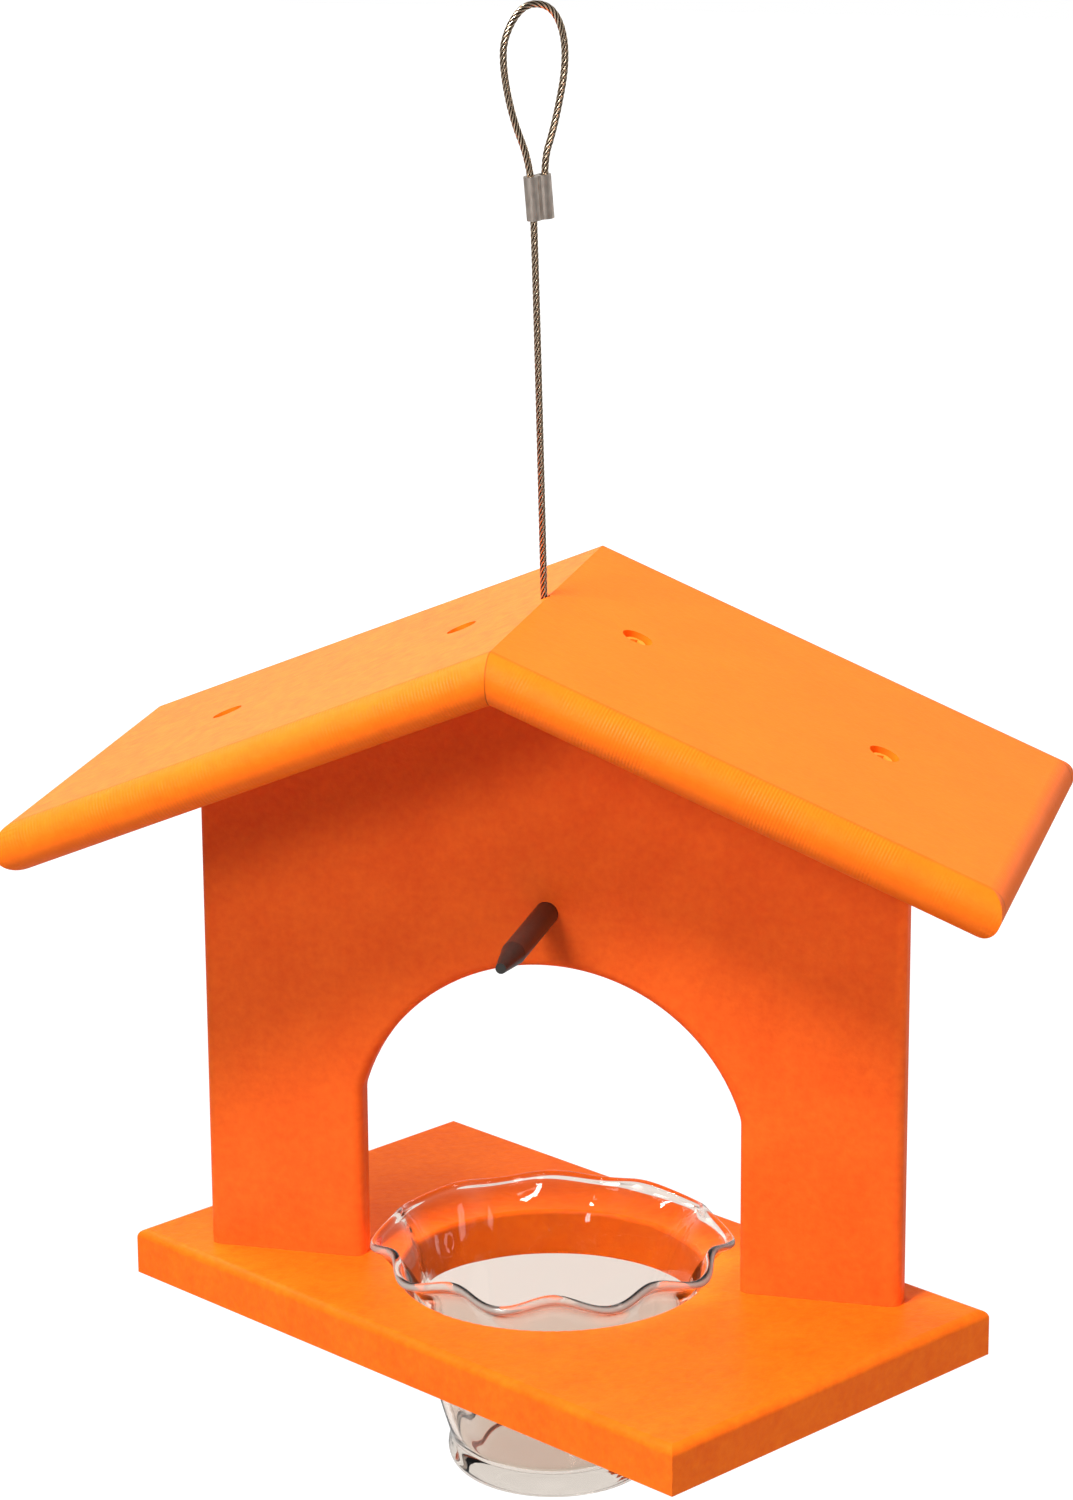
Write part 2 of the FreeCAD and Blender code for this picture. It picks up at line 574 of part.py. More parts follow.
# Crimped sleeve: two short barrels pressed round the rope and its returning end
barrels = []
for name, offset in (("FrontBarrel", "0"), ("BackBarrel", BARREL_SPACING)):
    for kind, radius in (("", "sizes.barrel_diameter / 2"),
                         ("Bore", "sizes.rope_diameter / 2 + sizes.bore_gap")):
        barrel = doc.addObject("Part::Cylinder", name + kind)
        bind(barrel, Radius=radius, Height="sizes.sleeve_length", Placement__Base__x=offset)
        barrels.append(barrel)
front, front_bore, back, back_bore = barrels
pressed = doc.addObject("Part::Fuse", "PressedBarrels")
pressed.Base = front
pressed.Tool = back
doc.recompute()
creased = doc.addObject("Part::Fillet", "RoundedCrease")
creased.Base = pressed
crease_names = [n for n, edge in enumerate(pressed.Shape.Edges, start=1)
                if edge.Curve.TypeId == "Part::GeomLine" and abs(edge.CenterOfMass.y) > 0.1
                and abs(edge.CenterOfMass.x - value(BARREL_SPACING) / 2) < 1e-3]
creased.Edges = [(n, value("sizes.crimp_round"), value("sizes.crimp_round")) for n in crease_names]
doc.recompute()
bores = doc.addObject("Part::Fuse", "RopeBores")
bores.Base = front_bore
bores.Tool = back_bore
sleeve = doc.addObject("Part::Cut", "crimp_sleeve")
sleeve.Label = "crimp_sleeve"
sleeve.Base = creased
sleeve.Tool = bores
lean = Rotation(Vector(0, 0, 1), value("sizes.loop_turn")).multiply(
    Rotation(Vector(0, 1, 0), -value("sizes.sleeve_lean")))
sleeve.Placement = Placement(Vector(value("sizes.sleeve_side"), 0, -value("sizes.sleeve_drop")), lean)

# Stop sleeve: a round ferrule crimped under the ridge, hidden in a pocket in the panel's top
stop = body_at_house("stop_sleeve")
bind(stop, Placement__Base__x="sizes.house_side + sizes.rope_side",
     Placement__Base__z=f"{STOP_BOTTOM} - sizes.floor_drop")
stop_bore, stop_radius = "sizes.rope_diameter / 2 + sizes.bore_gap", "sizes.stop_diameter / 2"
revolve_profile(stop, [
    (stop_bore, "0"),
    (stop_radius, "0"),
    (stop_radius, "sizes.stop_length"),
    (stop_bore, "sizes.stop_length"),
], "XZ_Plane", "V_Axis")

# Check every object, then write each piece
doc.recompute()
PIECES = [roof_left, roof_right, panel, floor_board, spike, cup, rope, sleeve, stop] + screws
for obj in doc.Objects:
    if "Invalid" in obj.State or "Error" in obj.State:
        raise RuntimeError(f"{obj.Label} did not build: {obj.State}")
for piece in PIECES:
    shape = piece.Shape
    if shape.isNull() or not shape.isValid() or len(shape.Solids) != 1:
        raise RuntimeError(f"{piece.Label} is not one valid solid")
os.makedirs("parts", exist_ok=True)
for piece in PIECES:
    piece.Shape.exportStep(f"parts/{piece.Label}.step")
    box = piece.Shape.BoundBox
    print(f"{piece.Label:24s} volume {piece.Shape.Volume:10.1f}  z {box.ZMin:8.2f} to {box.ZMax:8.2f}")
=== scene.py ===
"""Hanging oriole feeder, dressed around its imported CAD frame. Metres, Z up; the origin is the
inside top of the rope's loop. The sections follow the feeder as it is put together."""
import math

import bpy
import numpy as np
from mathutils import Matrix, Vector


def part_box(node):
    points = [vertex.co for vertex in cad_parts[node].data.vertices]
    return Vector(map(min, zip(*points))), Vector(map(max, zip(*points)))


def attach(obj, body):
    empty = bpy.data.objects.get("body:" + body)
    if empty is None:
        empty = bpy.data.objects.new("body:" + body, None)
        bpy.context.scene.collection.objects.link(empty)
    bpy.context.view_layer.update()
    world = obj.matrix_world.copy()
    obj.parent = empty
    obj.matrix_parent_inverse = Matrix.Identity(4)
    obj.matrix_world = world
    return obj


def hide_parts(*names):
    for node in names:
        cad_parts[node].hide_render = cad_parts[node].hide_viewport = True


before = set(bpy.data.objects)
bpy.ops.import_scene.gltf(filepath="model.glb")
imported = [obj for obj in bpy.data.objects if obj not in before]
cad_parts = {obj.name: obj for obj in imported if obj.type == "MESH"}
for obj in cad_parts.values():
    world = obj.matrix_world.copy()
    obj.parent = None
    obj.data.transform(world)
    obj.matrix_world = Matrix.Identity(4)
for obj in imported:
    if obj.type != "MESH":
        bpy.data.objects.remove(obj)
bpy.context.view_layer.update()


# Floor board.
# A short plank of solid-coloured recycled plastic, sawn and rounded over along its top, with
# a round hole for the jelly cup. The skin is matte, faintly mottled and finely pebbled.
MM = 0.001
FLOOR_LOW, FLOOR_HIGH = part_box("floor_board")
HOUSE_X = (FLOOR_LOW.x + FLOOR_HIGH.x) / 2
FLOOR_TOP = FLOOR_HIGH.z
FLOOR_TURN = math.radians(-30.7)
FLOOR_DEEP = (0.88, 0.121, 0.005)
FLOOR_PALE = (0.97, 0.172, 0.007)
HOLE_RADIUS = 41.3 * MM
# painted shade: how dark the hole's drilled wall is painted, for the light the glass cup holds
# back
DRILLED_SHADE = 0.66
GRAIN = 0.08


def new_material(name):
    """an empty node material: its tree and a shader wired to its output"""
    material = bpy.data.materials.new(name)
    material.use_nodes = True
    tree = material.node_tree
    shader = next(n for n in tree.nodes if n.type == "BSDF_PRINCIPLED")
    return material, tree, shader


def add(tree, kind, inputs=None, **settings):
    """a shader node with its settings and unlinked inputs filled in"""
    node = tree.nodes.new(kind)
    for key, setting in settings.items():
        setattr(node, key, setting)
    for key, setting in (inputs or {}).items():
        node.inputs[key].default_value = setting
    return node


def join(tree, *chain):
    """wire pairs of (node, output) and (node, input)"""
    for (source, output), (target, put) in zip(chain[::2], chain[1::2]):
        tree.links.new(source.outputs[output], target.inputs[put])


def calc(tree, operation, *terms):
    """result of a math node over terms that are sockets or plain numbers"""
    node = tree.nodes.new("ShaderNodeMath")
    node.operation = operation
    for put, term in zip(node.inputs, terms):
        if isinstance(term, bpy.types.NodeSocket):
            tree.links.new(term, put)
        else:
            put.default_value = term
    return node.outputs[0]


def ramp(tree, source, low, high, first=0.0, last=1.0):
    """straight ramp from first to last while the source goes from low to high, flat outside"""
    node = add(tree, "ShaderNodeMapRange", {
        "From Min": low, "From Max": high, "To Min": first, "To Max": last})
    tree.links.new(source, node.inputs["Value"])
    return node.outputs["Result"]


def noise(tree, place, scale, detail=2.0):
    """noise over a place, about 0.5 on average"""
    node = add(tree, "ShaderNodeTexNoise", {"Scale": scale, "Detail": detail, "Roughness": 0.6})
    tree.links.new(place, node.inputs["Vector"])
    return node.outputs["Fac"]


def blend(tree, share, first, last):
    """colour between two plain colours"""
    node = add(tree, "ShaderNodeMix", data_type="RGBA")
    node.inputs[6].default_value = (*first, 1)
    node.inputs[7].default_value = (*last, 1)
    tree.links.new(share, node.inputs[0])
    return node.outputs[2]


def bump_from(tree, shader, height, strength, distance):
    """relief on a shader from a height"""
    node = add(tree, "ShaderNodeBump", {"Strength": strength, "Distance": distance})
    join(tree, (node, "Normal"), (shader, "Normal"))
    tree.links.new(height, node.inputs["Height"])


def board_plastic(name, deep, pale, turn=(0.0, 0.0, 0.0), stretch=(GRAIN, 1.0, 1.0),
                  variety=1.0, marks=None):
    """matte recycled plastic between a deep and a pale colour: broad mottling, specks and
    streaks along the board's grain for colour, pebbling and drag lines for bump; turn lines the
    pattern up with the board, stretch draws it out along the grain, variety scales how much it
    varies, and marks adds a shade and a relief of the board's own"""
    material, tree, shader = new_material(name)
    place = add(tree, "ShaderNodeTexCoord")
    along = add(tree, "ShaderNodeMapping", {"Rotation": turn})
    drawn = add(tree, "ShaderNodeMapping", {"Scale": stretch})
    join(tree, (place, "Object"), (along, "Vector"), (along, "Vector"), (drawn, "Vector"))
    spot, line = along.outputs["Vector"], drawn.outputs["Vector"]
    mottle, speck = noise(tree, spot, 70.0, 4.0), noise(tree, spot, 420.0, 3.0)
    streak, pebble = noise(tree, line, 420.0, 3.0), noise(tree, spot, 1500.0, 2.0)
    level = calc(tree, "MULTIPLY_ADD", mottle, 1.5, -0.75)
    level = calc(tree, "MULTIPLY_ADD", speck, 1.6, level)
    level = calc(tree, "MULTIPLY_ADD", streak, 0.15, level)
    level = calc(tree, "MULTIPLY_ADD", calc(tree, "SUBTRACT", level, 0.875), variety, 0.5)
    tint = blend(tree, level, deep, pale)
    height = calc(tree, "MULTIPLY", streak, 0.15)
    height = calc(tree, "MULTIPLY_ADD", pebble, 0.6, height)
    height = calc(tree, "MULTIPLY_ADD", speck, 2.0 * variety, height)
    if marks:
        shade, relief = marks(tree, place.outputs["Object"], spot)
        shaded = add(tree, "ShaderNodeVectorMath", operation="SCALE")
        tree.links.new(tint, shaded.inputs[0])
        tree.links.new(shade, shaded.inputs["Scale"])
        tint = shaded.outputs[0]
        height = calc(tree, "ADD", height, relief)
    tree.links.new(tint, shader.inputs["Base Color"])
    bump_from(tree, shader, height, 0.5, 0.00016)
    shader.inputs["Roughness"].default_value = 0.44
    shader.inputs["Specular IOR Level"].default_value = 0.12
    return material


def finish_node(name, material):
    """give a CAD piece its finish in place of its plain colour"""
    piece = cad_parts[name]
    piece.data.materials[0] = material
    return piece


def hole_wall_painted_shade(tree, place, turned):
    """painted shade on the drilled wall of the cup's hole, darker than the skin, for the light
    that the glass cup holds back: a ramp over the distance from the hole's axis"""
    middle = add(tree, "ShaderNodeVectorMath", operation="SUBTRACT")
    middle.inputs[1].default_value = (HOUSE_X, 0.0, 0.0)
    level = add(tree, "ShaderNodeVectorMath", operation="MULTIPLY")
    level.inputs[1].default_value = (1.0, 1.0, 0.0)
    reach = add(tree, "ShaderNodeVectorMath", operation="LENGTH")
    tree.links.new(place, middle.inputs[0])
    join(tree, (middle, 0), (level, 0), (level, 0), (reach, 0))
    shade = ramp(tree, reach.outputs["Value"], HOLE_RADIUS, HOLE_RADIUS + 1.2 * MM,
                 DRILLED_SHADE, 1.0)
    return shade, 0.0


finish_node("floor_board", board_plastic(
    "floor_plastic", FLOOR_DEEP, FLOOR_PALE, turn=(0, 0, FLOOR_TURN), marks=hole_wall_painted_shade))


# Upright panel.
# The same plastic in a thinner board, coloured a deeper copy of it that paints in the shade
# # the panel stands in, cut to the gable with an arched opening, standing on the floor board's
# # diagonal. Its grain runs up and down.
# painted shade: the panel's colours are a deeper copy of the board plastic
PANEL_SHADED_DEEP = (0.88, 0.110, 0.012)
PANEL_SHADED_PALE = (0.98, 0.152, 0.016)
finish_node("arch_panel", board_plastic(
    "panel_plastic", PANEL_SHADED_DEEP, PANEL_SHADED_PALE, stretch=(1.0, 1.0, GRAIN)))


# Roof boards.
# Two thick boards mitred at the ridge and bullnosed on their free edges. Their grain runs along
# the ridge, and the cutter has left faint chatter along the bullnose.
ROOF_PITCH = math.radians(22.5)
ROOF_DEPTH = 127.0 * MM
NOSE = 6.2 * MM
CHATTER = 0.9 * MM
RIDGE_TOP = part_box("roof_board_left")[1].z
ROOF_DEEP = (0.88, 0.128, 0.005)
ROOF_PALE = (0.97, 0.182, 0.007)


def nose_marks(side, slope, sheen_patches):
    """chatter across the noses of the gable and of the eave, a line of painted shade along the
    crease where the flat of the slope ends, painted sheen in paler and deeper patches on the
    flat, and the mitre's seam on the ends of the ridge; distance down the slope = side x' -
    side HOUSE_X cos(pitch) + RIDGE_TOP sin(pitch), with x' turned by the pitch"""
    def marks(tree, place, turned):
        level, tilted = add(tree, "ShaderNodeSeparateXYZ"), add(tree, "ShaderNodeSeparateXYZ")
        tree.links.new(place, level.inputs[0])
        tree.links.new(turned, tilted.inputs[0])
        shift = RIDGE_TOP * math.sin(ROOF_PITCH) - side * HOUSE_X * math.cos(ROOF_PITCH)
        down = calc(tree, "MULTIPLY_ADD", tilted.outputs["X"], side, shift)
        along = level.outputs["Y"]
        out = calc(tree, "ABSOLUTE", along)
        flat_end, eave_start = ROOF_DEPTH / 2 - NOSE, slope - NOSE
        at_gable = ramp(tree, out, flat_end, flat_end + MM)
        at_eave = ramp(tree, down, eave_start, eave_start + MM)
        beats = 2 * math.pi / CHATTER
        across_gable = calc(tree, "SINE", calc(tree, "MULTIPLY", down, beats))
        across_eave = calc(tree, "SINE", calc(tree, "MULTIPLY", along, beats))
        chatter = calc(tree, "ADD", calc(tree, "MULTIPLY", across_gable, at_gable),
                       calc(tree, "MULTIPLY", across_eave, at_eave))
        chatter = calc(tree, "MULTIPLY", chatter, ramp(tree, noise(tree, place, 60.0), 0.4, 0.62))
        # painted shade: a darker line along the crease between the slope's flat and its nose
        painted_crease_reach = calc(tree, "ABSOLUTE", calc(tree, "SUBTRACT", out, flat_end + 0.5 * MM))
        shade = ramp(tree, painted_crease_reach, 0.2 * MM, 1.0 * MM, 0.80, 1.0)
        from_ridge = calc(tree, "ABSOLUTE", calc(tree, "SUBTRACT", level.outputs["X"], HOUSE_X))
        seam = calc(tree, "MAXIMUM", ramp(tree, from_ridge, 0.05 * MM, 0.25 * MM, 0.5, 1.0),
                    ramp(tree, out, flat_end, flat_end + MM, 1.0, 0.0))
        shade = calc(tree, "MULTIPLY", shade, seam)
        shade = calc(tree, "MULTIPLY_ADD", chatter, 0.03, shade)
        flat = calc(tree, "SUBTRACT", 1.0, calc(tree, "MAXIMUM", at_gable, at_eave))
        # painted sheen: paler and deeper patches on the flat stand in for the gloss that shifts
        # over it
        sheen_patch = calc(tree, "SUBTRACT", noise(tree, place, 300.0, 2.0), 0.5)
        sheen_patch = calc(tree, "MULTIPLY", sheen_patch, flat)
        shade = calc(tree, "MULTIPLY_ADD", sheen_patch, sheen_patches, shade)
        return shade, calc(tree, "MULTIPLY", chatter, 0.3)
    return marks


# the left board's flat carries painted sheen in paler and deeper patches, and the right one is
# plain
for name, side, variety, sheen_patches in (("roof_board_left", -1, 0.5, 0.9),
                                     ("roof_board_right", 1, 0.4, 0.0)):
    low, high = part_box(name)
    slope = max(high.x - HOUSE_X, HOUSE_X - low.x) / math.cos(ROOF_PITCH)
    finish_node(name, board_plastic(
        name + "_plastic", ROOF_DEEP, ROOF_PALE, turn=(0, -side * ROOF_PITCH, 0),
        stretch=(1.0, GRAIN, 1.0), variety=variety, marks=nose_marks(side, slope, sheen_patches)))


# Screws.
# Roof screws are coated orange and sunk in round pockets; the floor's are bare stainless and
# countersunk from underneath.
def screw_metal(name, colour, metallic, roughness):
    """plain screw finish with a faint grain in its gloss"""
    material, tree, shader = new_material(name)
    place = add(tree, "ShaderNodeTexCoord")
    grain = noise(tree, place.outputs["Object"], 900.0)
    tree.links.new(ramp(tree, grain, 0.0, 1.0, roughness - 0.08, roughness + 0.1),
                   shader.inputs["Roughness"])
    shader.inputs["Base Color"].default_value = (*colour, 1)
    shader.inputs["Metallic"].default_value = metallic
    return material


roof_screw_coat = screw_metal(
    "roof_screw_coat", colour=(0.90, 0.27, 0.025), metallic=0.0, roughness=0.35)
floor_screw_steel = screw_metal(
    "floor_screw_steel", colour=(0.56, 0.55, 0.53), metallic=1.0, roughness=0.3)
for side in ("left", "right"):
    for spot in ("upper", "lower"):
        finish_node(f"roof_screw_{side}_{spot}", roof_screw_coat)
    for spot in ("inner", "outer"):
        finish_node(f"floor_screw_{side}_{spot}", floor_screw_steel)


# Fruit spike.
# A dark rod turned to a cone at both ends, pushed through the panel above the arch. Half an
# orange is pushed on over either point.
SPIKE_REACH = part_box("fruit_spike")[1].y
CONE_LENGTH = 12.5 * MM
ROD_DEEP, ROD_PALE = (0.026, 0.014, 0.011), (0.064, 0.034, 0.026)
CONE_DEEP, CONE_PALE = (0.013, 0.012, 0.010), (0.036, 0.031, 0.027)


def spike_finish():
    """dark brown satin rod whose turned cones are a colder grey, scuffed all over"""
    material, tree, shader = new_material("spike_finish")
    place = add(tree, "ShaderNodeTexCoord")
    parts = add(tree, "ShaderNodeSeparateXYZ")
    join(tree, (place, "Object"), (parts, 0))
    grain = noise(tree, place.outputs["Object"], 700.0, 4.0)
    rod = blend(tree, grain, ROD_DEEP, ROD_PALE)
    cone = blend(tree, grain, CONE_DEEP, CONE_PALE)
    out = calc(tree, "ABSOLUTE", parts.outputs["Y"])
    cone_start = SPIKE_REACH - CONE_LENGTH
    both = add(tree, "ShaderNodeMix", data_type="RGBA")
    tree.links.new(ramp(tree, out, cone_start - 0.3 * MM, cone_start + 0.3 * MM), both.inputs[0])
    tree.links.new(rod, both.inputs[6])
    tree.links.new(cone, both.inputs[7])
    tree.links.new(both.outputs[2], shader.inputs["Base Color"])
    bump_from(tree, shader, grain, 0.3, 0.0001)
    shader.inputs["Roughness"].default_value = 0.42
    return material


finish_node("fruit_spike", spike_finish())


# Jelly cup.
# Clear pressed glass: a round foot, a tapering wall whose ten slanting flutes grow upwards, and
# a flared lip that waves in height and reach together. It hangs by its flare in the floor's hole.
CUP_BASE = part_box("jelly_cup")[0].z
FLUTES = 10
FLUTE_START = math.radians(-57.0)
FLUTE_TURN = math.radians(20.0)
CUP_RISE = 63.8
LIP_RADIUS = 1.38
CUP_AROUND = 480
CUP_UP = 190
GLASS_COLOUR = (0.86, 0.745, 0.67)
FOOT_COLOUR = (0.72, 0.65, 0.58)
# painted reflection: grey for the band along the lip's outer half
LIP_PAINTED_REFLECTION = (0.60, 0.54, 0.48)
LIP_CLEARNESS = 0.45


def spline_through(control, count):
    """a clamped uniform cubic B-spline: its end poles are tripled, and each span weighs four
    neighbouring rows by the cubic's blending functions at evenly spaced shares"""
    rows = np.asarray(control, float)
    rows = np.vstack([rows[:1], rows[:1], rows, rows[-1:], rows[-1:]])
    spans = len(rows) - 3
    place = np.linspace(0, spans, count)
    first = np.minimum(place.astype(int), spans - 1)
    t = (place - first)[:, None]
    weights = ((1 - t) ** 3, 3 * t ** 3 - 6 * t ** 2 + 4,
               -3 * t ** 3 + 3 * t ** 2 + 3 * t + 1, t ** 3)
    return sum(w * rows[first + n] for n, w in enumerate(weights)) / 6


def grid_faces(count_u, count_v):
    """quads over a grid of points whose rows run along v, and whose u closes on itself"""
    u, v = np.arange(count_u), np.arange(count_v - 1)
    a = (u[:, None] * count_v + v[None, :]).ravel()
    b = (((u + 1) % count_u)[:, None] * count_v + v[None, :]).ravel()
    return np.stack([a, b, b + 1, a + 1], axis=1)


def mesh_piece(name, points, faces, material):
    """scene piece with smooth shading from points and quads"""
    mesh = bpy.data.meshes.new(name)
    mesh.from_pydata(points.reshape(-1, 3), [], faces)
    mesh.shade_smooth()
    mesh.materials.append(material)
    piece = bpy.data.objects.new(name, mesh)
    bpy.context.scene.collection.objects.link(piece)
    return piece


# rings of mean radius, height over the base, depth of the flutes and height of the lip's waves,
# in millimetres: up the outside, over the round lip and down the inside
CUP_OUTSIDE = [
    (0.0, 1.2, 0, 0), (19.5, 1.2, 0, 0), (20.8, 1.0, 0, 0), (21.6, 0.1, 0, 0), (23.2, 0.0, 0, 0),
    (25.4, 0.25, 0, 0), (27.2, 1.3, 0, 0), (28.3, 3.0, 0, 0), (28.7, 5.0, 0, 0),
    (28.4, 7.2, 0, 0), (27.9, 9.0, 0, 0), (28.2, 10.6, 0.2, 0), (29.4, 15.0, 0.45, 0),
    (31.3, 23.0, 0.65, 0), (33.9, 34.0, 0.85, 0), (36.4, 43.5, 1.0, 0), (38.5, 50.5, 1.15, 0),
    (39.5, 53.6, 1.2, 0), (41.0, 56.4, 1.3, 0.1), (43.0, 59.8, 1.5, 0.5),
    (45.5, 62.6, 1.7, 1.0),
]
CUP_LIP = [(46.0 + LIP_RADIUS * math.cos(a), CUP_RISE + LIP_RADIUS * math.sin(a), 1.75, 1.25)
           for a in (-0.55, 0.1, 0.75, 1.4, 2.05, 2.7, 3.35)]
CUP_INSIDE = [
    (43.6, 62.3, 1.65, 0.9), (41.5, 60.2, 1.5, 0.4), (39.5, 57.4, 1.3, 0.1),
    (37.9, 54.1, 1.1, 0), (36.8, 50.8, 1.05, 0), (34.7, 43.7, 0.9, 0), (32.2, 34.3, 0.75, 0),
    (29.6, 23.4, 0.6, 0), (27.6, 15.4, 0.4, 0), (26.6, 11.4, 0.15, 0), (25.6, 8.0, 0, 0),
    (23.6, 6.2, 0, 0), (20.5, 5.5, 0, 0), (12.0, 5.3, 0, 0), (0.0, 5.3, 0, 0),
]


def cup_points(control, around, up):
    """grid over angle and ring: reach = mean radius + flutes cos(10 angle), the rim's height
    drops where the flutes reach out, and the whole ring lags by its height to slant them"""
    radius, height, flute, wave = spline_through(control, up).T
    angle = np.linspace(0, 2 * np.pi, around, endpoint=False)[:, None]
    swing = np.cos(FLUTES * angle)
    reach = radius + flute * swing
    turned = angle + FLUTE_START + FLUTE_TURN * (1 - height / CUP_RISE)
    x = HOUSE_X + reach * np.cos(turned) * MM
    y = reach * np.sin(turned) * MM
    z = CUP_BASE + (height - wave * swing) * MM
    return np.stack([x, y, z], axis=2)


def clear_glass():
    """clear pressed glass with the faint unevenness of a mould, greyer in its thick foot, and
    with a painted reflection along the lip's outer half: a partly matte grey band for the grey
    that the rim shows by reflection and refraction"""
    material, tree, shader = new_material("clear_glass")
    place = add(tree, "ShaderNodeTexCoord")
    # the painted reflection band shows from outside, and not through the glass
    outside = calc(tree, "SUBTRACT", 1.0, add(tree, "ShaderNodeNewGeometry").outputs["Backfacing"])
    lip = add(tree, "ShaderNodeAttribute", attribute_name="lip").outputs["Fac"]
    lip = calc(tree, "MULTIPLY", lip, outside)
    parts = add(tree, "ShaderNodeSeparateXYZ")
    join(tree, (place, "Object"), (parts, 0))
    foot = ramp(tree, parts.outputs["Z"], CUP_BASE + 8 * MM, CUP_BASE + 11 * MM, 1.0, 0.0)
    both = add(tree, "ShaderNodeMix", data_type="RGBA")
    both.inputs[7].default_value = (*LIP_PAINTED_REFLECTION, 1)
    tree.links.new(lip, both.inputs[0])
    tree.links.new(blend(tree, foot, GLASS_COLOUR, FOOT_COLOUR), both.inputs[6])
    tree.links.new(both.outputs[2], shader.inputs["Base Color"])
    clearness = ramp(tree, lip, 0.0, 1.0, 1.0, LIP_CLEARNESS)
    tree.links.new(clearness, shader.inputs["Transmission Weight"])
    bump_from(tree, shader, noise(tree, place.outputs["Object"], 110.0), 0.05, 0.0006)
    shader.inputs["Roughness"].default_value = 0.0
    shader.inputs["IOR"].default_value = 1.3
    return material


cup_rings = CUP_OUTSIDE + CUP_LIP + CUP_INSIDE
cup_grid = cup_points(cup_rings, CUP_AROUND, CUP_UP)
cup = mesh_piece("pressed_glass_cup", cup_grid, grid_faces(CUP_AROUND, CUP_UP), clear_glass())
# share of the painted reflection band: 1 along the outer half of the lip, falling to 0 over the
# rings on both sides of it
ring_place = np.linspace(-1, len(cup_rings), CUP_UP)
lip_outside = len(CUP_OUTSIDE) + 0.4
painted_reflection_band = np.clip((2.5 - np.abs(ring_place - lip_outside)) / 1.2, 0, 1)
lip_share = cup.data.attributes.new("lip", "FLOAT", "POINT")
lip_share.data.foreach_set("value", np.tile(painted_reflection_band, CUP_AROUND))
merge = cup.modifiers.new("close_poles", "WELD")
merge.merge_threshold = 0.01 * MM
# clear glass would cast a black shadow here, where a real one lets the light through
cup.visible_shadow = False
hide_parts("jelly_cup")
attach(cup, "root")


# Wire rope.
# Stainless rope of six strands laid round a core, each strand of six wires round a seventh. It
# comes up through the ridge, bends round the loop and ends in the crimped sleeve.
# It is drawn a little thicker than its solid, as it looks in the photograph.
ROPE_ROUTE = [
    (1.80, 0.00, -172.36), (-0.30, 0.00, -55.20), (-1.37, -0.90, -38.45), (-4.80, -4.12, -27.55),
    (-6.72, -5.72, -15.95), (-6.72, -5.72, -6.85), (-2.20, -1.93, 1.45), (4.39, 3.60, -0.25),
    (6.99, 5.79, -11.85), (4.10, 3.45, -29.65), (1.22, 1.32, -39.60), (2.19, 2.09, -52.45),
]
ROPE_DIAMETER = 1.88 * MM
ROPE_STEP = 0.45 * MM
STRANDS = 6
STRAND_RADIUS = ROPE_DIAMETER / 6 * 1.06
STRAND_LAY = 9.6 * MM
WIRE_LAY = 5.0 * MM
LOOP_TURN = math.radians(40.0)
# painted shade in the grooves between strands, and painted highlight on their crowns
GROOVE_PAINTED_SHADE = (0.095, 0.052, 0.030)
CROWN_PAINTED_HIGHLIGHT = (1.0, 0.80, 0.58)


def nurbs_line(name, route):
    """points in metres along the smooth spline whose control points are a route in millimetres"""
    curve = bpy.data.curves.new(name, "CURVE")
    curve.dimensions = "3D"
    curve.resolution_u = 64
    spline = curve.splines.new("NURBS")
    spline.points.add(len(route) - 1)
    for point, spot in zip(spline.points, route):
        point.co = (*(Vector(spot) * MM), 1.0)
    spline.order_u = 3
    spline.use_endpoint_u = True
    carrier = bpy.data.objects.new(name, curve)
    mesh = bpy.data.meshes.new_from_object(carrier)
    line = np.empty(len(mesh.vertices) * 3)
    mesh.vertices.foreach_get("co", line)
    bpy.data.objects.remove(carrier)
    return line.reshape(-1, 3)


def even_line(line, step):
    """the same line with points at even steps of its length"""
    gaps = np.linalg.norm(np.diff(line, axis=0), axis=1)
    travel = np.concatenate([[0], np.cumsum(gaps)])
    count = int(round(travel[-1] / step)) + 1
    marks = np.linspace(0, travel[-1], count)
    return np.stack([np.interp(marks, travel, line[:, n]) for n in range(3)], axis=1), marks


def square_axes(line):
    """two axes square to the line at each point: the loop's own normal less its share along
    the line, and the cross product of the two"""
    ahead = np.gradient(line, axis=0)
    ahead /= np.linalg.norm(ahead, axis=1)[:, None]
    normal = np.array([-math.sin(LOOP_TURN), math.cos(LOOP_TURN), 0.0])
    side = normal - (ahead @ normal)[:, None] * ahead
    side /= np.linalg.norm(side, axis=1)[:, None]
    return side, np.cross(ahead, side)


def strand_tube(line, marks, phase):
    """one strand: its middle runs round the rope once every lay, and its skin has a bulge for
    each of six wires, |cos(3 angle)|, which run round the strand the other way"""
    side, across = square_axes(line)
    turn = 2 * np.pi * marks / STRAND_LAY + phase
    reach = ROPE_DIAMETER / 2 - STRAND_RADIUS
    middle = line + reach * (np.cos(turn)[:, None] * side + np.sin(turn)[:, None] * across)
    side, across = square_axes(middle)
    ring = np.linspace(0, 2 * np.pi, 24, endpoint=False)
    twist = 2 * np.pi * marks / WIRE_LAY
    bulge = np.abs(np.cos(3 * (ring[:, None] + twist[None, :])))
    skin = STRAND_RADIUS * (0.86 + 0.14 * bulge)
    return (middle[None] + skin[..., None] * (np.cos(ring)[:, None, None] * side[None]
                                             + np.sin(ring)[:, None, None] * across[None]))


